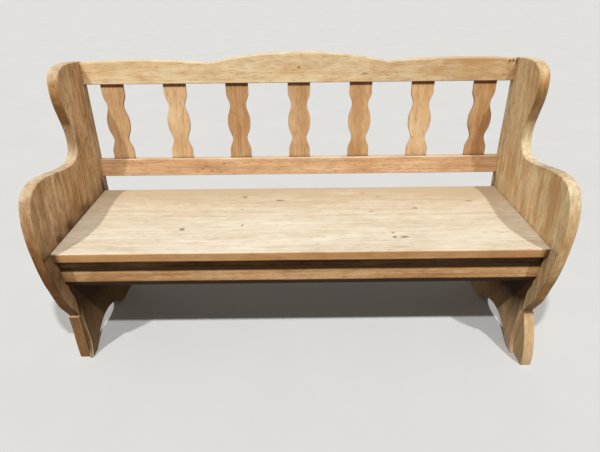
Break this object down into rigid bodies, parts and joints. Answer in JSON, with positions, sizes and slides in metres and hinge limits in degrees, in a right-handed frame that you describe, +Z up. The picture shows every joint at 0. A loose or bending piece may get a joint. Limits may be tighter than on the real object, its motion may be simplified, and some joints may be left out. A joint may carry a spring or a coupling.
{
  "type": "monks bench",
  "caption": "Pine settle with shaped slab ends, a plank seat and a fixed raked back of wavy slats between a level lower rail and a humped crest rail.",
  "frame": {"origin": "middle of the bench's bounding box in X and Y, at floor level", "axes": "+X along the bench to the sitter's left, which is the right-hand end in the picture; +Y from the front edge towards the back; +Z up"},
  "size_m": [1.516, 0.5585, 0.8944],
  "materials": {
    "cheek_pine": "satin varnish",
    "leg_pine": "satin varnish",
    "foot_pine": "satin varnish",
    "seat_pine": "satin varnish",
    "rail_pine": "satin varnish",
    "slat_pine": "satin varnish",
    "dowel_beech": "bare",
    "screw_steel": "zinc plated"
  },
  "bodies": {
    "root": {"left_end_cheek": "cheek_pine", "left_leg_board": "leg_pine", "left_front_foot_block": "foot_pine", "left_foot_dowel_1": "dowel_beech", "left_foot_dowel_2": "dowel_beech", "right_end_cheek": "cheek_pine", "right_leg_board": "leg_pine", "right_front_foot_block": "foot_pine", "right_foot_dowel_1": "dowel_beech", "right_foot_dowel_2": "dowel_beech", "front_seat_rail": "rail_pine", "rear_seat_rail": "rail_pine", "seat_plank_1": "seat_pine", "seat_plank_2": "seat_pine", "seat_plank_3": "seat_pine", "seat_plank_4": "seat_pine", "seat_bearer_1": "rail_pine", "seat_bearer_2": "rail_pine", "seat_screw_1": "screw_steel", "seat_screw_2": "screw_steel", "seat_screw_3": "screw_steel", "seat_screw_4": "screw_steel", "seat_screw_5": "screw_steel", "seat_screw_6": "screw_steel", "seat_screw_7": "screw_steel", "seat_screw_8": "screw_steel", "lower_back_rail": "slat_pine", "crest_rail": "rail_pine", "back_slat_1": "slat_pine", "back_slat_2": "slat_pine", "back_slat_3": "slat_pine", "back_slat_4": "slat_pine", "back_slat_5": "slat_pine", "back_slat_6": "slat_pine", "back_slat_7": "slat_pine"}
  },
  "joints": []
}
